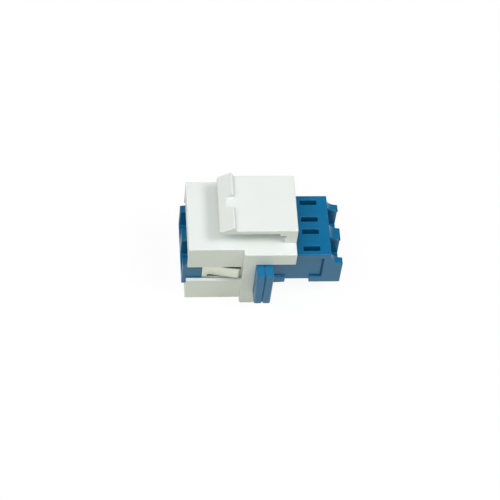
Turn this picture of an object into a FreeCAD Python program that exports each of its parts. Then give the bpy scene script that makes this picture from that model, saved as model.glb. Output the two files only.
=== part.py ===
import FreeCAD, Part
import math
import os
import re
import Sketcher

# Duplex LC fibre adapter in a keystone snap-in frame.  Millimetres, +Z up.
# X is the optical axis: the keystone front faces -X.  X = 0 is the seam of the adapter's flange,
# Y = 0 its plane of symmetry, and Z = 0 the flat underside that the frame rests on.

SIZES = {
    # adapter body, welded from two equal halves
    "body_width": 12.8,
    "body_bottom": 3.7,
    "body_top": 12.7,
    "body_end": 14.4,
    "flange_width": 21.7,
    "flange_low": 3.62,
    "flange_top": 12.55,
    "flange_depth": 1.5,
    "flange_round": 0.35,
    "seam_bevel": 0.22,
    "top_wall_end": 12.05,
    "scoop_radius": 2.3,
    "horn_top": 9.7,
    "top_round": 0.2,
    # ports, at the LC pitch, each with a channel above it for the plug's latch
    "port_pitch": 6.25,
    "port_size": 4.6,
    "port_middle": 7.05,
    "port_bottom_end": 2.2,
    "channel_width": 3.65,
    "channel_top": 11.6,
    "channel_inner_end": 6.6,
    "mouth_bevel": 0.12,
    # windows in the top wall that hold the shoulders of the plug's latch
    "window_inner_end": 7.11,
    "window_outer_end": 10.1,
    "window_offset": 1.81,
    "window_width": 0.97,
    "window_floor": 10.2,
    # seat of the clip in the sides and the underside of each half
    "seat_depth": 0.4,
    "seat_end": 10.9,
    "seat_low": 5.32,
    "seat_high": 11.46,
    "strap_seat_start": 4.35,
    "strap_seat_end": 8.74,
    "strap_seat_depth": 0.5,
    "edge_groove": 0.22,
    "edge_groove_depth": 0.25,
    # keystone frame
    "frame_width": 14.5,
    "frame_height": 16.0,
    "frame_front": 13.65,
    "shoulder_width": 16.9,
    "shoulder_front": 3.83,
    "shoulder_chamfer": 0.35,
    "roof_rear": 5.48,
    "ledge_rear": 1.0,
    "cavity_width": 13.0,
    "cavity_bottom": 3.6,
    "cavity_top": 12.8,
    "side_window_low": 5.7,
    "side_window_high": 10.25,
    "side_window_rear": 3.75,
    "frame_wall": 1.0,
    "roof_core_top": 14.6,
    "roof_core_width": 5.3,
    "under_core_top": 2.6,
    "under_core_width": 5.6,
    "core_rib": 0.5,
    "catch_wall": 0.85,
    "catch_groove": 1.55,
    "catch_groove_depth": 0.9,
    "catch_groove_width": 12.0,
    # latch arm on top of the frame
    "arm_width": 11.8,
    "arm_top": 19.86,
    "arm_thickness": 0.99,
    "arm_tip": 8.33,
    "tip_top": 19.41,
    "ridge_start": 5.95,
    "ridge_end": 5.68,
    "ridge_top": 20.91,
    "catch_foot": 5.35,
    "hinge_place": 4.0,
    "hinge_clearance": 0.12,
    "root_front": 3.56,
    "slot_round": 0.3,
    "notch_length": 1.75,
    "notch_width": 2.6,
    "notch_round": 0.6,
    "tip_chamfer": 0.3,
    # spring clip, bent from one strip
    "clip_thickness": 0.3,
    "clip_bend": 0.3,
    "clip_low": 5.42,
    "clip_high": 11.36,
    "clip_rear": 1.65,
    "clip_front": 10.85,
    "strap_play": 0.15,
    "leaf_root": 9.9,
    "leaf_bend": 5.4,
    "leaf_tip": 4.05,
    "leaf_low": 6.5,
    "leaf_high": 9.5,
    "leaf_flare": 0.94,
    "leaf_return": 0.05,
    "leaf_slit": 0.5,
    "leaf_bend_radius": 1.2,
    # alignment barrels and sleeves
    "barrel_radius": 1.45,
    "barrel_play": 0.05,
    "barrel_end": 4.9,
    "collar_radius": 2.1,
    "collar_depth": 0.8,
    "sleeve_bore_radius": 0.85,
    "sleeve_bore_end": 3.45,
    "lip_bore_radius": 0.7,
    "lip_mouth_radius": 0.95,
    "sleeve_radius": 0.8,
    "ferrule_radius": 0.625,
    "sleeve_half_length": 3.4,
    "sleeve_slit": 0.3,
}

document = FreeCAD.newDocument("lc_keystone_adapter")
sheet = document.addObject("Spreadsheet::Sheet", "Sizes")
for row, (word, value) in enumerate(SIZES.items(), start=1):
    sheet.set(f"A{row}", word)
    sheet.set(f"B{row}", str(value))
    sheet.setAlias(f"B{row}", word)
document.recompute()


def bound(text):
    """The expression that names the sheet's cells, from one written with the bare aliases."""
    return re.sub(r"[a-z][a-z_]+(?!\w*\()", r"Sizes.\g<0>", text)


def number(text):
    return float(sheet.evalExpression(bound(text)))


def new_body(name):
    body = document.addObject("PartDesign::Body", name)
    body.Label = name
    body.Placement = FreeCAD.Placement()
    return body


def outline(body, name, plane, offset, corners):
    """A closed sketch parallel to an origin plane, every corner bound to the sheet.

    A corner is (across, up), or (across, up, radius, turn) where an arc leads on to the next corner;
    turn is 1 if that arc's centre is on the left of the way round and -1 if it is on the right.
    """
    planes = {feature.Role: feature for feature in body.Origin.OriginFeatures}
    sketch = body.newObject("Sketcher::SketchObject", name)
    sketch.AttachmentSupport = (planes[plane], "")
    sketch.MapMode = "FlatFace"
    sketch.setExpression("AttachmentOffset.Base.z", bound(offset))
    points = [FreeCAD.Vector(number(corner[0]), number(corner[1]), 0) for corner in corners]
    joins = []
    for here, corner in enumerate(corners):
        start = points[here]
        end = points[(here + 1) % len(points)]
        if len(corner) == 2:
            edge = sketch.addGeometry(Part.LineSegment(start, end))
            joins.append((edge, 1, 2))
            continue
        radius = number(corner[2])
        chord = end - start
        left = FreeCAD.Vector(-chord.y, chord.x, 0).normalize() * corner[3]
        rise = math.sqrt(max(radius ** 2 - (chord.Length / 2) ** 2, 0))
        middle = start + chord * 0.5
        centre = middle + left * rise
        circle = Part.Circle(centre, FreeCAD.Vector(0, 0, 1), radius)
        first, last = (start, end) if corner[3] > 0 else (end, start)
        angles = [math.atan2(*(point - centre)[1::-1]) for point in (first, last)]
        edge = sketch.addGeometry(Part.ArcOfCircle(circle, angles[0], angles[1]))
        joins.append((edge, 1, 2) if corner[3] > 0 else (edge, 2, 1))
        size = sketch.addConstraint(Sketcher.Constraint("Radius", edge, radius))
        sketch.setExpression(f"Constraints[{size}]", bound(corner[2]))
    for here, (edge, start, end) in enumerate(joins):
        following = joins[(here + 1) % len(joins)]
        sketch.addConstraint(Sketcher.Constraint("Coincident", edge, end, following[0], following[1]))
        for kind, text in (("DistanceX", corners[here][0]), ("DistanceY", corners[here][1])):
            place = sketch.addConstraint(Sketcher.Constraint(kind, -1, 1, edge, start, number(text)))
            sketch.setExpression(f"Constraints[{place}]", bound(text))
    return sketch


def extrude(body, name, plane, start, length, corners, cut=False):
    """A pad, or a pocket if cut, that runs from start for length along the plane's normal."""
    profile = outline(body, name + "_outline", plane, start, corners)
    feature = body.newObject("PartDesign::Pocket" if cut else "PartDesign::Pad", name)
    feature.Profile = profile
    feature.Reversed = cut
    feature.setExpression("Length", bound(length))
    body.Tip = feature
    return feature


def block(body, name, x_range, y_range, z_range, cut=False):
    """An upright block between two places on each axis."""
    corners = [(x_range[0], y_range[0]), (x_range[1], y_range[0]),
               (x_range[1], y_range[1]), (x_range[0], y_range[1])]
    length = f"({z_range[1]}) - ({z_range[0]})"
    return extrude(body, name, "XY_Plane", z_range[0], length, corners, cut)


def tube(body, name, start, end, across, up, radius, cut=False):
    """A round pad, or a round pocket if cut, along X between two places."""
    planes = {feature.Role: feature for feature in body.Origin.OriginFeatures}
    sketch = body.newObject("Sketcher::SketchObject", name + "_circle")
    sketch.AttachmentSupport = (planes["YZ_Plane"], "")
    sketch.MapMode = "FlatFace"
    sketch.setExpression("AttachmentOffset.Base.z", bound(start))
    centre = FreeCAD.Vector(number(across), number(up), 0)
    circle = sketch.addGeometry(Part.Circle(centre, FreeCAD.Vector(0, 0, 1), number(radius)))
    places = (("DistanceX", (-1, 1, circle, 3), across), ("DistanceY", (-1, 1, circle, 3), up),
              ("Radius", (circle,), radius))
    for kind, where, text in places:
        size = sketch.addConstraint(Sketcher.Constraint(kind, *where, number(text)))
        sketch.setExpression(f"Constraints[{size}]", bound(text))
    feature = body.newObject("PartDesign::Pocket" if cut else "PartDesign::Pad", name)
    feature.Profile = sketch
    feature.Reversed = cut
    feature.setExpression("Length", bound(f"({end}) - ({start})"))
    body.Tip = feature
    return feature


def dress_edges(body, kind, name, size, chosen):
    """A fillet or chamfer on the edges of the body so far whose bounding box chosen accepts."""
    document.recompute()
    base = body.Tip
    names = [f"Edge{place}" for place, edge in enumerate(base.Shape.Edges, start=1)
             if chosen(edge.BoundBox)]
    if not names:
        raise RuntimeError(f"{name} finds no edge")
    feature = body.newObject(f"PartDesign::{kind}", name)
    feature.Base = (base, names)
    feature.setExpression("Radius" if kind == "Fillet" else "Size", bound(size))
    body.Tip = feature


def near(value, text):
    return abs(value - number(text)) < 1e-4


def both_sides(inner, outer):
    """The two places across Y, named for the side, between an inner and an outer distance."""
    return {"left": (inner, outer), "right": (f"-({outer})", f"-({inner})")}


def adapter_half(name, turned):
    """One welded half of the adapter, modelled on the +X side: the other is turned end for end."""
    body = new_body(name)
    half_width = "body_width / 2"
    block(body, "shell", ("0", "body_end"), (f"-{half_width}", half_width), ("body_bottom", "body_top"))
    block(body, "flange", ("0", "flange_depth"), ("-flange_width / 2", "flange_width / 2"),
          ("flange_low", "flange_top"))
    # behind the end of the top wall, the side walls and the divider fall in a scoop to low horns
    extrude(body, "scoop", "XZ_Plane", f"-{half_width} - 1", "body_width + 2",
            [("top_wall_end", "horn_top + scoop_radius", "scoop_radius", 1),
             ("top_wall_end + scoop_radius", "horn_top"), ("body_end + 1", "horn_top"),
             ("body_end + 1", "body_top + 1"), ("top_wall_end", "body_top + 1")], cut=True)
    for side, sign in (("left", ""), ("right", "-")):
        middle = f"{sign}port_pitch / 2"
        width = (f"{middle} - port_size / 2", f"{middle} + port_size / 2")
        height = ("port_middle - port_size / 2", "port_middle + port_size / 2")
        block(body, f"{side}_port", ("port_bottom_end", "body_end + 1"), width, height, cut=True)
        block(body, f"{side}_latch_channel", ("channel_inner_end", "body_end + 1"),
              (f"{middle} - channel_width / 2", f"{middle} + channel_width / 2"),
              ("port_middle", "channel_top"), cut=True)
        port_mouth(body, side, width, height)
        for place, step in (("inner", "-"), ("outer", "+")):
            window = f"{middle} {step if sign == '' else {'-': '+', '+': '-'}[step]} window_offset"
            block(body, f"{side}_{place}_window", ("window_inner_end", "window_outer_end"),
                  (f"{window} - window_width / 2", f"{window} + window_width / 2"),
                  ("window_floor", "body_top + 1"), cut=True)
        tube(body, f"{side}_barrel_bore", "-1", "port_bottom_end + 1", middle, "port_middle",
             "barrel_radius + barrel_play", cut=True)
        tube(body, f"{side}_collar_bore", "-1", "collar_depth", middle, "port_middle",
             "collar_radius + barrel_play", cut=True)
    clip_seat(body, half_width)
    dress_edges(body, "Fillet", "top_edges", "top_round", lambda box: box.XLength > 5
                and near(abs(box.YMin), half_width) and box.YLength < 0.01 and near(box.ZMin, "body_top"))
    dress_edges(body, "Fillet", "ear_edges", "flange_round", lambda box: box.ZLength > 5
                and near(box.XMin, "flange_depth") and near(abs(box.YMin), "flange_width / 2"))
    dress_edges(body, "Chamfer", "seam_edges", "seam_bevel", lambda box: near(box.XMax, "0")
                and near(box.XMin, "0") and (box.YLength > 20 or box.ZLength > 8
                or near(box.ZMin, "flange_top") and box.ZLength < 0.01))
    if turned:
        body.Placement = FreeCAD.Placement(FreeCAD.Vector(), FreeCAD.Rotation(180, 0, 0))


def port_mouth(body, side, width, height):
    """The lead-in round the square mouth of a port."""
    rims = []
    for name, place, grow in (("inner_rim", "body_end - mouth_bevel", "0"),
                              ("outer_rim", "body_end", "mouth_bevel")):
        low, high = (f"{height[0]} - {grow}", f"{height[1]} + {grow}")
        left, right = (f"{width[0]} - {grow}", f"{width[1]} + {grow}")
        rims.append(outline(body, f"{side}_{name}", "YZ_Plane", place,
                            [(left, low), (right, low), (right, high), (left, high)]))
    lead_in = body.newObject("PartDesign::SubtractiveLoft", f"{side}_lead_in")
    lead_in.Profile = rims[0]
    lead_in.Sections = [rims[1]]
    body.Tip = lead_in


def clip_seat(body, half_width):
    """Shallow seats for the clip's plates and strap, with a finer groove along two edges."""
    floor = f"{half_width} - seat_depth"
    for side, width in both_sides(floor, f"{half_width} + 1").items():
        block(body, f"{side}_seat", ("flange_depth", "seat_end"), width, ("seat_low", "seat_high"), cut=True)
        block(body, f"{side}_strap_seat", ("strap_seat_start", "strap_seat_end"), width,
              ("body_bottom - 1", "seat_low + 0.1"), cut=True)
    for side, width in both_sides(f"{floor} - edge_groove_depth", f"{half_width} + 1").items():
        block(body, f"{side}_end_groove", ("seat_end - edge_groove", "seat_end"), width,
              ("seat_low", "seat_high"), cut=True)
        block(body, f"{side}_rail_groove", ("strap_seat_end", "seat_end"), width,
              ("seat_low", "seat_low + edge_groove"), cut=True)
    block(body, "strap_seat", ("strap_seat_start", "strap_seat_end"),
          (f"-{half_width} - 1", f"{half_width} + 1"),
          ("body_bottom - 1", "body_bottom + strap_seat_depth"), cut=True)


def keystone_frame():
    body = new_body("keystone_frame")
    box_width = ("-frame_width / 2", "frame_width / 2")
    full_width = ("-shoulder_width / 2", "shoulder_width / 2")
    block(body, "front_box", ("-frame_front", "-shoulder_front"), box_width, ("0", "frame_height"))
    block(body, "shoulder", ("-shoulder_front", "-flange_depth"), full_width, ("0", "frame_height"))
    block(body, "roof", ("-flange_depth", "roof_rear"), full_width, ("cavity_top", "frame_height"))
    block(body, "ledge", ("-flange_depth", "ledge_rear"), full_width, ("0", "cavity_bottom"))
    latch_root(body)
    block(body, "cavity", ("-frame_front - 1", "0"), ("-cavity_width / 2", "cavity_width / 2"),
          ("cavity_bottom", "cavity_top"), cut=True)
    block(body, "side_windows", ("-frame_front - 1", "-side_window_rear"),
          ("-frame_width / 2 - 1", "frame_width / 2 + 1"), ("side_window_low", "side_window_high"), cut=True)
    inner_front = "-frame_front + frame_wall"
    catch_front = "-shoulder_front - catch_groove"
    for side, width in both_sides("core_rib", "core_rib + roof_core_width").items():
        block(body, f"{side}_roof_core", (inner_front, "roof_rear + 1"), width,
              ("cavity_top - 0.5", "roof_core_top"), cut=True)
    for side, width in both_sides("core_rib", "core_rib + under_core_width").items():
        block(body, f"{side}_front_core", (inner_front, f"{catch_front} - catch_wall"), width,
              ("-1", "under_core_top"), cut=True)
        block(body, f"{side}_shoulder_core", ("-shoulder_front + frame_wall", "ledge_rear - frame_wall"),
              width, ("-1", "under_core_top"), cut=True)
    # the lower edge of the keystone opening drops into this groove; the latch holds the upper edge
    block(body, "catch_groove", (catch_front, "-shoulder_front"),
          ("-catch_groove_width / 2", "catch_groove_width / 2"), ("-1", "catch_groove_depth"), cut=True)
    dress_edges(body, "Chamfer", "shoulder_corners", "shoulder_chamfer",
                lambda box: near(box.XMin, "-shoulder_front") and near(box.XMax, "-shoulder_front")
                and near(box.ZMax, "0") and near(max(-box.YMin, box.YMax), "shoulder_width / 2"))


def latch_root(body):
    """The block that carries the latch, with the hollow in which the arm's root turns."""
    mouth = "hinge_place + ((arm_thickness / 2 + hinge_clearance)^2 - (arm_thickness / 2)^2)^0.5"
    extrude(body, "latch_root", "XZ_Plane", "-arm_width / 2", "arm_width",
            [("root_front - slot_round", "frame_height"), ("roof_rear", "frame_height"),
             ("roof_rear", "arm_top"), (mouth, "arm_top", "arm_thickness / 2 + hinge_clearance", -1),
             ("hinge_place", "arm_top - arm_thickness - hinge_clearance"),
             ("root_front", "arm_top - arm_thickness - hinge_clearance"),
             ("root_front", "frame_height + slot_round", "slot_round", -1)])


def latch_arm():
    """The flexing arm: a plate with a ramp and a catch ridge at its free end, turning about its root."""
    body = new_body("latch_arm")
    underside = "arm_top - arm_thickness"
    extrude(body, "arm", "XZ_Plane", "-arm_width / 2", "arm_width",
            [("hinge_place", underside, "arm_thickness / 2", 1), ("hinge_place", "arm_top"),
             ("-catch_foot", "arm_top"), ("-ridge_end", "ridge_top"), ("-ridge_start", "ridge_top"),
             ("-arm_tip", "tip_top"), ("-arm_tip", underside)])
    half_notch = "notch_width / 2"
    front = "-catch_foot - notch_length"
    extrude(body, "driver_notch", "XY_Plane", "arm_top", "2",
            [("0", f"-{half_notch}"), ("0", half_notch),
             (f"{front} + notch_round", half_notch, "notch_round", 1),
             (front, f"{half_notch} - notch_round"),
             (front, f"-{half_notch} + notch_round", "notch_round", 1),
             (f"{front} + notch_round", f"-{half_notch}")], cut=True)
    dress_edges(body, "Chamfer", "tip_corners", "tip_chamfer",
                lambda box: near(box.XMax, "-arm_tip") and box.ZLength > 0.2)


def mounting_clip():
    """The bent steel clip on the front half: a strap below, two plates, and a sprung leaf in each."""
    body = new_body("mounting_clip")
    inner = "body_width / 2 - seat_depth"
    outer = f"{inner} + clip_thickness"
    strap_top = "body_bottom + strap_seat_depth"
    strap_bottom = f"{strap_top} - clip_thickness"
    extrude(body, "strap", "YZ_Plane", "-strap_seat_end + strap_play",
            "strap_seat_end - strap_seat_start - 2 * strap_play",
            [(f"{outer} - clip_bend", strap_bottom, "clip_bend", 1),
             (outer, f"{strap_bottom} + clip_bend"), (outer, "clip_high"), (inner, "clip_high"),
             (inner, strap_top), (f"-({inner})", strap_top), (f"-({inner})", "clip_high"),
             (f"-({outer})", "clip_high"), (f"-({outer})", f"{strap_bottom} + clip_bend", "clip_bend", 1),
             (f"-({outer}) + clip_bend", strap_bottom)])
    for side, width in both_sides(inner, outer).items():
        block(body, f"{side}_plate", ("-clip_front", "-clip_rear"), width, ("clip_low", "clip_high"))
    block(body, "leaf_openings", ("-leaf_root", "-leaf_tip + leaf_slit"), ("-body_width", "body_width"),
          ("leaf_low - leaf_slit", "leaf_high + leaf_slit"), cut=True)
    for side, sign in (("left", ""), ("right", "-")):
        crest = f"{sign}({outer} + leaf_flare)"
        crest_back = f"{sign}({inner} + leaf_flare)"
        tip = f"{sign}({outer} + leaf_flare - leaf_return)"
        tip_back = f"{sign}({inner} + leaf_flare - leaf_return)"
        extrude(body, f"{side}_leaf", "XY_Plane", "leaf_low", "leaf_high - leaf_low",
                [("-leaf_root", f"{sign}({inner})"), ("-leaf_bend", crest_back), ("-leaf_tip", tip_back),
                 ("-leaf_tip", tip), ("-leaf_bend", crest), ("-leaf_root", f"{sign}({outer})")])
    for name, face, radius in (("inside", inner, "leaf_bend_radius"),
                               ("outside", outer, "leaf_bend_radius + clip_thickness")):
        dress_edges(body, "Fillet", f"leaf_bends_{name}", radius,
                    lambda box: near(box.XMin, "-leaf_bend") and near(box.XMax, "-leaf_bend")
                    and near(abs(box.YMin), f"{face} + leaf_flare"))


def place_at_port(body, side, turned):
    body.Placement = FreeCAD.Placement(FreeCAD.Vector(), FreeCAD.Rotation(180 if turned else 0, 0, 0))
    body.setExpression("Placement.Base.y", bound("port_pitch / 2" if side == "left" else "-port_pitch / 2"))
    body.setExpression("Placement.Base.z", bound("port_middle"))


def sleeve_holder(side, turned):
    """Half of the barrel round one split sleeve, with the collar that the adapter halves trap."""
    body = new_body(f"{'front' if turned else 'rear'}_{side}_sleeve_holder")
    tube(body, "collar", "0", "collar_depth", "0", "0", "collar_radius")
    tube(body, "barrel", "0", "barrel_end", "0", "0", "barrel_radius")
    tube(body, "sleeve_bore", "-1", "sleeve_bore_end", "0", "0", "sleeve_bore_radius", cut=True)
    lead_in = tube(body, "lip_lead_in", "sleeve_bore_end", "barrel_end", "0", "0", "lip_bore_radius", cut=True)
    lead_in.setExpression("TaperAngle", bound(
        "atan((lip_mouth_radius - lip_bore_radius) / (barrel_end - sleeve_bore_end))"))
    place_at_port(body, side, turned)


def split_sleeve(side):
    """A zirconia tube that is slit along its length and grips both ferrules."""
    body = new_body(f"{side}_split_sleeve")
    ends = ("-sleeve_half_length", "sleeve_half_length")
    tube(body, "sleeve", *ends, "0", "0", "sleeve_radius")
    tube(body, "ferrule_bore", f"{ends[0]} - 1", f"{ends[1]} + 1", "0", "0", "ferrule_radius", cut=True)
    block(body, "slit", (f"{ends[0]} - 1", f"{ends[1]} + 1"), ("-sleeve_slit / 2", "sleeve_slit / 2"),
          ("0", "sleeve_radius + 1"), cut=True)
    place_at_port(body, side, False)


def write_parts():
    """Stop on any failed object or shape, then write one file per sub-part."""
    document.recompute()
    failed = [item.Name for item in document.Objects if {"Invalid", "Error"} & set(item.State)]
    if failed:
        raise RuntimeError(f"failed: {failed}")
    bodies = [item for item in document.Objects if item.TypeId == "PartDesign::Body"]
    for body in bodies:
        shape = body.Shape
        if shape.isNull() or not shape.isValid() or len(shape.Solids) != 1:
            raise RuntimeError(f"{body.Label} is not one valid solid")
    os.makedirs("parts", exist_ok=True)
    for body in bodies:
        body.Shape.exportStep(f"parts/{body.Label}.step")
        box = body.Shape.BoundBox
        print(f"{body.Label:26} {body.Shape.Volume:9.2f} mm3  "
              f"X {box.XMin:7.2f} {box.XMax:7.2f}  Y {box.YMin:7.2f} {box.YMax:7.2f}  "
              f"Z {box.ZMin:6.2f} {box.ZMax:6.2f}")


keystone_frame()
latch_arm()
adapter_half("front_adapter_half", turned=True)
adapter_half("rear_adapter_half", turned=False)
mounting_clip()
for side in ("left", "right"):
    sleeve_holder(side, turned=True)
    sleeve_holder(side, turned=False)
    split_sleeve(side)
write_parts()
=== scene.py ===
import math
import bmesh
import bpy
from mathutils import Matrix, Vector
from mathutils.geometry import intersect_point_line


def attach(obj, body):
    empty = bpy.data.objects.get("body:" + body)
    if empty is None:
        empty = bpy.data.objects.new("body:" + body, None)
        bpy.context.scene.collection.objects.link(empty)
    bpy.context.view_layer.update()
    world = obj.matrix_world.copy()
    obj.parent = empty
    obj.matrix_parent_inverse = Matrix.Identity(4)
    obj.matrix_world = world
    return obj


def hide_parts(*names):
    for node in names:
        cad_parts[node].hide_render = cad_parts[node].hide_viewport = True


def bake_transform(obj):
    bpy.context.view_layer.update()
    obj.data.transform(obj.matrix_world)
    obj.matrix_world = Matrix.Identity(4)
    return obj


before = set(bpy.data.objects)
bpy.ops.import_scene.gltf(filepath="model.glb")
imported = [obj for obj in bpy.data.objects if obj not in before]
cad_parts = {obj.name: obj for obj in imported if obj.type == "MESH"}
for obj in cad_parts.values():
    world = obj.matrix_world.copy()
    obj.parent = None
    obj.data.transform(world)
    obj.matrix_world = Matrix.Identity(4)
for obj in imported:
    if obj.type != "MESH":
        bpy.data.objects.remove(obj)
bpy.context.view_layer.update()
MM = 0.001


# Keystone frame: the white moulded housing that snaps into a wall plate. It is one
# injection-moulded piece of glossy ABS, with softened edges from the tool, shoulders that
# stop behind the plate, and a window in each side wall for the spring clip's leaf.
SAME_CORNER = 0.0001 * MM
SAME_PLANE = math.radians(1)
SHARP_EDGE = math.radians(50)
PARALLEL = 0.95
CURVED_STRIP = 0.7 * MM
ROUNDING_STEPS = 3
GRAIN_ROUGHNESS = 0.55
SHORTEST_EDGE = 0.001 * MM
FAR_AWAY = 1.0
FRAME_ROUNDING = 0.12 * MM


class Signal:
    """One output of a shader node; arithmetic on it adds Math nodes."""

    def __init__(self, finish, socket):
        self.finish = finish
        self.socket = socket

    def math(self, operation, *values):
        return self.finish.node("ShaderNodeMath", {"operation": operation},
                                dict(enumerate(values)))

    def __add__(self, other):
        return self.math("ADD", self, other)

    def __radd__(self, other):
        return self.math("ADD", other, self)

    def __mul__(self, other):
        return self.math("MULTIPLY", self, other)

    def __rmul__(self, other):
        return self.math("MULTIPLY", other, self)


class Finish:
    """The nodes of a material or a world: its surface values and whatever feeds them."""

    def __init__(self, owner):
        self.owner = owner
        owner.use_nodes = True
        self.tree = owner.node_tree
        self.surface = self.built_in("BSDF_PRINCIPLED", "BACKGROUND")

    def built_in(self, *kinds):
        """The node of one of these kinds that the tree starts with."""
        return next(n for n in self.tree.nodes if n.type in kinds)

    def put(self, socket, value):
        """Links a signal to an input, or sets the input's own value."""
        if isinstance(value, Signal):
            self.tree.links.new(value.socket, socket)
        else:
            socket.default_value = value

    def node(self, kind, settings, values, output=0):
        """Adds one node, with its settings first and then its sockets' values or links."""
        made = self.tree.nodes.new(kind)
        for word, setting in settings.items():
            setattr(made, word, setting)
        for place, value in values.items():
            self.put(made.inputs[place], value)
        return Signal(self, made.outputs[output])

    def ray(self, kind):
        """One where the light path is of that kind, and zero elsewhere."""
        return self.node("ShaderNodeLightPath", {}, {}, kind)

    def grain(self, size, detail=2.0, stretch=(1.0, 1.0, 1.0)):
        """Noise with features of that size in metres, placed in the object's own space."""
        place = self.node("ShaderNodeTexCoord", {}, {}, "Object")
        turned = self.node("ShaderNodeMapping", {}, {"Vector": place, "Scale": stretch})
        return self.node("ShaderNodeTexNoise", {},
                         {"Vector": turned, "Scale": 1 / size, "Detail": detail,
                          "Roughness": GRAIN_ROUGHNESS}, "Fac")

    def blend(self, amount, first, second):
        """A mix of two colours."""
        return self.node("ShaderNodeMix", {"data_type": "RGBA"},
                         {0: amount, 6: first, 7: second}, 2)

    def relief(self, height, depth, strength):
        """A bumped normal, with the depth in metres."""
        return self.node("ShaderNodeBump", {},
                         {"Height": height, "Distance": depth, "Strength": strength})

    def apply(self, **values):
        """Feeds the surface's inputs, named with underscores, and returns the owner."""
        for word, value in values.items():
            self.put(self.surface.inputs[word.replace("_", " ")], value)
        return self.owner


def new_finish(name):
    """A Finish for a new material."""
    return Finish(bpy.data.materials.new(name))


def merged_copy(node):
    """A node's mesh with its loose triangles merged and its flat faces made whole."""
    shape = bmesh.new()
    shape.from_mesh(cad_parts[node].data)
    bmesh.ops.remove_doubles(shape, verts=shape.verts, dist=SAME_CORNER)
    bmesh.ops.dissolve_limit(shape, angle_limit=SAME_PLANE, verts=shape.verts,
                             edges=shape.edges)
    return shape


def beside(edge, other):
    """How far an edge's middle lies from another edge that it runs alongside."""
    middle = (edge.verts[0].co + edge.verts[1].co) / 2
    foot, fraction = intersect_point_line(middle, other.verts[0].co, other.verts[1].co)
    return (middle - foot).length if 0 < fraction < 1 else FAR_AWAY


def direction(edge):
    """The unit vector along an edge."""
    return (edge.verts[1].co - edge.verts[0].co).normalized()


def crowded(edge, rivals, room):
    """Whether a parallel rival on the same face is closer than that to the edge."""
    for other in {e for face in edge.link_faces for e in face.edges} & rivals - {edge}:
        if abs(direction(other).dot(direction(edge))) > PARALLEL:
            if min(beside(edge, other), beside(other, edge)) < room:
                return True
    return False


def on_a_curve(face):
    """Whether a face is one strip of a rounded surface."""
    return any(e.is_manifold and SAME_PLANE < e.calc_face_angle() < SHARP_EDGE
               and face.calc_area() / e.calc_length() < CURVED_STRIP for e in face.edges)


def soften(shape, size):
    """Rounds the sharp edges, as a moulding's are, and shades only the curved faces smooth."""
    for face in shape.faces:
        face.smooth = on_a_curve(face)
    sharp = {e for e in shape.edges if e.is_manifold and e.calc_face_angle() > SHARP_EDGE}
    roomy = [e for e in sharp if not crowded(e, sharp, 2 * size)]
    rounded = bmesh.ops.bevel(shape, geom=roomy, offset=size, offset_type="OFFSET",
                              segments=ROUNDING_STEPS, profile=0.5, affect="EDGES",
                              clamp_overlap=False, material=-1)
    for face in rounded["faces"]:
        face.smooth = True
    bmesh.ops.dissolve_degenerate(shape, dist=SHORTEST_EDGE, edges=shape.edges)


def new_object(name, shape, material):
    """Turns the finished shape into an object with that material."""
    mesh = bpy.data.meshes.new(name)
    shape.to_mesh(mesh)
    shape.free()
    mesh.materials.append(material)
    made = bpy.data.objects.new(name, mesh)
    bpy.context.collection.objects.link(made)
    return made


def place_piece(name, shape, body, slot, material, *nodes):
    """Makes the shape an object that rides on a body and stands for its CAD nodes."""
    piece = new_object(name, shape, material)
    if body:
        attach(piece, body)
    if nodes:
        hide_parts(*nodes)
    return piece


white = new_finish("glossy_white_abs")
cloud = white.grain(4 * MM, 3)
white_abs = white.apply(
    Base_Color=white.blend(cloud, (0.750, 0.790, 0.763, 1), (0.788, 0.821, 0.797, 1)),
    Roughness=0.30 + 0.12 * cloud,
    Normal=white.relief(white.grain(0.12 * MM), 0.01 * MM, 0.25),
)
shape = merged_copy("keystone_frame")
soften(shape, FRAME_ROUNDING)
place_piece("white_keystone_frame", shape, "housing", "white_plastic", white_abs,
            "keystone_frame")


# Latch: the flexing arm on the frame's roof, moulded in one with it. A ramp and a ridge at the
# free end catch the plate's upper edge, and a rounded notch through them takes a flat driver.
# The arm grows out of a solid root on the roof, and is thicker where it joins it.
ARM_MIDDLE = 19.4 * MM
ARM_UNDER = 18.87 * MM
ARM_HALF_WIDTH = 5.9 * MM
ARM_BARE_END = 3.0 * MM
ARM_ROUNDING = 0.10 * MM
ROOT_COVER_END = 4.9 * MM
TIP_RISE_START = -6.85 * MM
TIP_RISE = 0.17
ROOF_TOP = 15.9 * MM
THICK_ROOT = (2.35 * MM, 4.85 * MM)
THICK_ROOT_UNDER = 18.20 * MM
FOOT = (3.27 * MM, 3.70 * MM)
FOOT_TOP = 17.25 * MM
BLOCK_ROUNDING = 0.08 * MM
SINK = 0.2 * MM
SKIN = 0.008 * MM
FLAT_PLAY = 0.03 * MM
CUT_PLAY = 0.0002 * MM
BEND_FROM = 1.2
BEND_STEP = 0.2
BEND_CUTS = 10


def cut_across(shape, spot, facing, keep_below=False):
    """Cuts the whole mesh with a plane, and drops what lies beyond it when asked."""
    everything = shape.verts[:] + shape.edges[:] + shape.faces[:]
    bmesh.ops.bisect_plane(shape, geom=everything, plane_co=spot, plane_no=facing,
                           dist=CUT_PLAY, clear_outer=keep_below)


def add_block(shape, along, half_width, height):
    """A block across the part, between two places along it and between two heights."""
    low = Vector((along[0], -half_width, height[0]))
    high = Vector((along[1], half_width, height[1]))
    bmesh.ops.create_cube(shape, size=1, matrix=(
        Matrix.Translation((low + high) / 2) @ Matrix.Diagonal((*(high - low), 1))))


def grown_parts(grown, kind):
    """The corners or edges that an extrusion made."""
    return [part for part in grown if isinstance(part, kind)]


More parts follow.
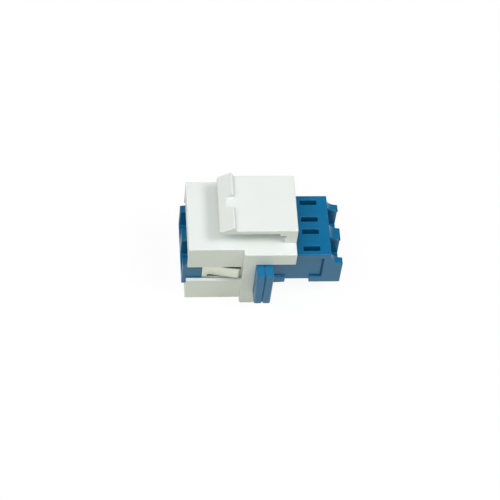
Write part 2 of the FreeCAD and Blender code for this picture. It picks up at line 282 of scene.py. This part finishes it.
shape = merged_copy("latch_arm")
cut_across(shape, (ARM_BARE_END, 0, 0), (1, 0, 0), keep_below=True)
rim = [e for e in shape.edges if e.is_boundary]
grown = bmesh.ops.extrude_edge_only(shape, edges=rim)["geom"]
for corner in grown_parts(grown, bmesh.types.BMVert):
    corner.co.x = ROOT_COVER_END
    corner.co.y = math.copysign(ARM_HALF_WIDTH + SKIN, corner.co.y)
    corner.co.z += SKIN if corner.co.z > ARM_MIDDLE else 0
bmesh.ops.contextual_create(shape, geom=grown_parts(grown, bmesh.types.BMEdge))
bmesh.ops.recalc_face_normals(shape, faces=shape.faces)
cut_across(shape, (TIP_RISE_START, 0, 0), (1, 0, 0))
for corner in shape.verts:
    if corner.co.x < TIP_RISE_START and corner.co.z < ARM_UNDER + FLAT_PLAY:
        corner.co.z += (TIP_RISE_START - corner.co.x) * TIP_RISE
soften(shape, ARM_ROUNDING)

blocks = bmesh.new()
add_block(blocks, THICK_ROOT, ARM_HALF_WIDTH + SKIN / 2, (THICK_ROOT_UNDER, ARM_UNDER + SINK))
add_block(blocks, FOOT, ARM_HALF_WIDTH + SKIN / 2, (ROOF_TOP, FOOT_TOP))
soften(blocks, BLOCK_ROUNDING)
carrier = bpy.data.meshes.new("latch_root_blocks")
blocks.to_mesh(carrier)
blocks.free()
shape.from_mesh(carrier)
bpy.data.meshes.remove(carrier)
for step in range(BEND_CUTS):
    cut_across(shape, ((BEND_FROM + BEND_STEP * step) * MM, 0, 0), (1, 0, 0))
arm = place_piece("white_latch_arm", shape, None, "white_plastic", white_abs, "latch_arm")
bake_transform(arm)


# Adapter halves: two alike blue polycarbonate mouldings, turned end for end and welded at the
# flange. Each has two square ports, a latch channel over each with two windows, scooped horns
# at the mouth, and a shallow seat at each side for the steel clip.
HALF_ROUNDING = 0.10 * MM

blue = new_finish("glossy_blue_polycarbonate")
cloud = blue.grain(5 * MM, 3)
blue_plastic = blue.apply(
    Base_Color=blue.blend(cloud, (0.0, 0.132, 0.298, 1), (0.0, 0.157, 0.342, 1)),
    Roughness=0.26 + 0.12 * cloud,
    Normal=blue.relief(blue.grain(0.10 * MM), 0.01 * MM, 0.22),
)
for end in ("front", "rear"):
    shape = merged_copy(f"{end}_adapter_half")
    soften(shape, HALF_ROUNDING)
    place_piece(f"blue_{end}_adapter_half", shape, "housing", "blue_plastic", blue_plastic,
                f"{end}_adapter_half")


# Mounting clip: one strip of spring steel, stamped and bent round the front half. A strap
# passes below, a plate lies in each side's seat, and a leaf cut free on three sides bows out
# through the frame's window.
SHEET = 0.22 * MM
STAMPED_EDGE = 0.035 * MM
STAMPED_STEPS = 2
# The places and bends below are in millimetres: along the part, out from its middle, and up.
PLATE_OUT = 6.44
PLATE_MIDDLE, PLATE_LENGTH = -6.25, 9.2
PLATE_LOW, PLATE_HIGH = 5.42, 11.36
STRAP_START, STRAP_END = -8.59, -4.5
STRAP_BEND = ((6.44, 4.2), (6.35, 3.99), (6.14, 3.9), (0, 3.9))
LEAF_ROOT, LEAF_TIP, LEAF_LOW, LEAF_HIGH = -9.9, -4.02, 6.6, 9.48
LEAF_STEP, LEAF_STEPS = 0.35, 17
UPPER_SLIT, LOWER_SLIT, END_SLIT = 0.5, 0.56, 0.12
BOW, BOW_START, BOW_LENGTH = 0.77, 0.75, 4.6
FLATTENING = 0.2
TIP_TURN, TIP_TURN_START, TIP_TURN_LENGTH = 0.15, 5.45, 0.43


def score(shape, axis, places):
    """Cuts the sheet across at each place along an axis, in millimetres."""
    for place in places:
        spot, facing = Vector(), Vector()
        spot[axis], facing[axis] = place * MM, 1
        cut_across(shape, spot, facing)


def bowed_out(along):
    """How far the leaf stands out at a distance from its root, both in millimetres."""
    rise = max(0, along - BOW_START) / BOW_LENGTH
    turn = max(0, along - TIP_TURN_START) / TIP_TURN_LENGTH
    bow = BOW * ((1 + FLATTENING) * rise - FLATTENING * rise ** 5)
    return bow - TIP_TURN * turn ** 2


def on_strap_line(edge):
    """Whether an edge is on the plate's lower rim, within the strap's width."""
    heights = [v.co.z for v in edge.verts]
    middle = (edge.verts[0].co.x + edge.verts[1].co.x) / 2 / MM
    return (edge.is_boundary and max(abs(z - PLATE_LOW * MM) for z in heights) < SAME_CORNER
            and STRAP_START < middle < STRAP_END)


steel = new_finish("satin_spring_steel")
rolled = steel.grain(0.4 * MM, 2, (0.12, 1, 1))
spring_steel = steel.apply(
    Base_Color=steel.blend(steel.grain(3 * MM), (0.64, 0.67, 0.55, 1), (0.73, 0.76, 0.65, 1)),
    Metallic=1.0,
    Roughness=0.30 + 0.16 * rolled,
    Normal=steel.relief(rolled, 0.006 * MM, 0.25),
)
shape = bmesh.new()
bmesh.ops.create_grid(shape, x_segments=1, y_segments=1, size=0.5)
upright = Matrix.Rotation(math.pi / 2, 4, "X")
centre = Vector((PLATE_MIDDLE, -PLATE_OUT, (PLATE_LOW + PLATE_HIGH) / 2)) * MM
reach = Matrix.Diagonal((PLATE_LENGTH * MM, (PLATE_HIGH - PLATE_LOW) * MM, 1, 1))
bmesh.ops.transform(shape, verts=shape.verts,
                    matrix=Matrix.Translation(centre) @ upright @ reach)
score(shape, 0, [LEAF_ROOT + LEAF_STEP * step for step in range(LEAF_STEPS)])
score(shape, 0, [LEAF_TIP, LEAF_TIP + END_SLIT, STRAP_START, STRAP_END])
score(shape, 2, [LEAF_LOW - LOWER_SLIT, LEAF_LOW, LEAF_HIGH, LEAF_HIGH + UPPER_SLIT])
waste = []
leaf = set()
for face in shape.faces:
    x, _, z = face.calc_center_median() / MM
    if LEAF_ROOT < x < LEAF_TIP and LEAF_LOW < z < LEAF_HIGH:
        leaf.update(face.verts)
    elif LEAF_ROOT < x < LEAF_TIP + END_SLIT and (
            LEAF_LOW - LOWER_SLIT < z < LEAF_HIGH + UPPER_SLIT):
        waste.append(face)
bmesh.ops.delete(shape, geom=waste, context="FACES")
for corner in leaf:
    corner.co.y -= bowed_out(corner.co.x / MM - LEAF_ROOT) * MM
lip = [e for e in shape.edges if on_strap_line(e)]
for out, height in STRAP_BEND:
    grown = bmesh.ops.extrude_edge_only(shape, edges=lip)["geom"]
    lip = grown_parts(grown, bmesh.types.BMEdge)
    for corner in grown_parts(grown, bmesh.types.BMVert):
        corner.co.y = -out * MM
        corner.co.z = height * MM
half = shape.verts[:] + shape.edges[:] + shape.faces[:]
bmesh.ops.mirror(shape, geom=half, matrix=Matrix(), merge_dist=SHORTEST_EDGE, axis="Y")
bmesh.ops.remove_doubles(shape, verts=shape.verts, dist=SHORTEST_EDGE)
bmesh.ops.recalc_face_normals(shape, faces=shape.faces)
for face in shape.faces:
    face.smooth = True
clip = place_piece("steel_mounting_clip", shape, "housing", "spring_steel", spring_steel,
                   "mounting_clip")
gauge = clip.modifiers.new("sheet_thickness", "SOLIDIFY")
gauge.thickness = SHEET
gauge.offset = -1
stamped = clip.modifiers.new("stamped_edges", "BEVEL")
stamped.width = STAMPED_EDGE
stamped.segments = STAMPED_STEPS
stamped.limit_method = "ANGLE"
stamped.angle_limit = SHARP_EDGE


# Sleeve holders: a round barrel on each port's axis, in two pieces that are trapped between
# the welded adapter halves. They are slim mouldings of matt nylon, dyed like the adapter.
def dress_nodes(ending, material):
    """Gives every CAD node whose name ends so that material."""
    for node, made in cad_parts.items():
        if node.endswith(ending):
            for place in made.material_slots:
                place.material = material


nylon = new_finish("matt_blue_nylon")
cloud = nylon.grain(1.5 * MM)
nylon_plastic = nylon.apply(
    Base_Color=nylon.blend(cloud, (0.004, 0.105, 0.235, 1), (0.008, 0.128, 0.270, 1)),
    Roughness=0.42 + 0.12 * cloud,
    Normal=nylon.relief(nylon.grain(0.12 * MM), 0.01 * MM, 0.3),
)
dress_nodes("sleeve_holder", nylon_plastic)


# Split sleeves: ground zirconia tubes with one lengthwise slit, which line up the two
# ferrules. The ceramic is ivory white with a polished surface.
ceramic = new_finish("ground_zirconia")
cloud = ceramic.grain(1 * MM)
zirconia = ceramic.apply(
    Base_Color=ceramic.blend(cloud, (0.76, 0.75, 0.70, 1), (0.83, 0.82, 0.77, 1)),
    Roughness=0.10 + 0.08 * cloud,
    Coat_Weight=0.3,
    Normal=ceramic.relief(ceramic.grain(0.06 * MM, 1, (0.1, 1, 1)), 0.003 * MM, 0.2),
)
dress_nodes("split_sleeve", zirconia)


# Studio: a white floor that keeps a faint shadow, a grey world for even light, two broad lamps
# overhead, a soft key lamp over the rear end and a weaker fill lamp over the keystone front.
FLOOR_DROP = 0.02 * MM
FLOOR_REACH = 3
FLOOR_GLOW = 0.92
TARGET = Vector((-4.03, -13.91, 26.37)) * MM
DISTANCE = 356.4 * MM
AZIMUTH, ELEVATION, ROLL = math.radians(-9.93), math.radians(57.08), math.radians(7.93)
FOCAL_LENGTH = 150.82
SENSOR_WIDTH = 36
NEAREST_SEEN = 0.01

paper = new_finish("white_paper_floor")
camera_ray = paper.ray("Is Camera Ray")
seen = camera_ray.math("MAXIMUM", camera_ray, paper.ray("Is Glossy Ray"))
paper.apply(Base_Color=paper.blend(seen, (0.465, 0.50, 0.355, 1), (0.97, 0.97, 0.97, 1)),
            Roughness=0.9, Specular_IOR_Level=0.0)
lit = Signal(paper, paper.surface.outputs[0])
glow = paper.node("ShaderNodeEmission", {}, {"Color": (1, 1, 1, 1)})
mixed = paper.node("ShaderNodeMixShader", {}, {0: seen * FLOOR_GLOW, 1: lit, 2: glow})
paper.put(paper.built_in("OUTPUT_MATERIAL").inputs["Surface"], mixed)
shape = bmesh.new()
bmesh.ops.create_grid(shape, x_segments=1, y_segments=1, size=FLOOR_REACH,
                      matrix=Matrix.Translation((0, 0, -FLOOR_DROP)))
new_object("studio_floor", shape, paper.owner)

world = bpy.data.worlds.new("studio_air")
bpy.context.scene.world = world
air = Finish(world)
dim = air.blend(air.ray("Is Glossy Ray"), (0.245, 0.249, 0.243, 1), (0.13, 0.13, 0.13, 1))
air.apply(Color=air.blend(air.ray("Is Camera Ray"), dim, (1, 1, 1, 1)))


def softbox(name, size, power, distance, side):
    """A round area lamp on that side of the part, aimed at it."""
    lamp = bpy.data.lights.new(name, "AREA")
    lamp.shape = "DISK"
    lamp.size = size
    lamp.energy = power
    holder = bpy.data.objects.new(name, lamp)
    bpy.context.collection.objects.link(holder)
    holder.location = Vector(side).normalized() * distance
    holder.rotation_euler = Vector(side).to_track_quat("Z", "Y").to_euler()


softbox("key_lamp", size=0.42, power=4.25, distance=1.0, side=(2.45, -0.8, 3.9))
softbox("front_lamp", size=0.9, power=6.05, distance=1.2, side=(-0.3, -0.6, 1.2))
softbox("top_lamp", size=1.2, power=1.2, distance=1.2, side=(-0.5, -0.2, 1.4))
softbox("fill_lamp", size=0.8, power=2.65, distance=1.2, side=(-2.2, -0.2, 2.4))

lens = bpy.data.cameras.new("camera")
lens.lens = FOCAL_LENGTH
lens.sensor_width = SENSOR_WIDTH
lens.clip_start = NEAREST_SEEN
camera = bpy.data.objects.new("camera", lens)
bpy.context.collection.objects.link(camera)
camera.matrix_world = (
    Matrix.Translation(TARGET) @ Matrix.Rotation(AZIMUTH, 4, "Z")
    @ Matrix.Rotation(math.pi / 2 - ELEVATION, 4, "X")
    @ Matrix.Translation((0, 0, DISTANCE)) @ Matrix.Rotation(ROLL, 4, "Z"))
bpy.context.scene.camera = camera
bpy.context.scene.view_settings.view_transform = "Standard"
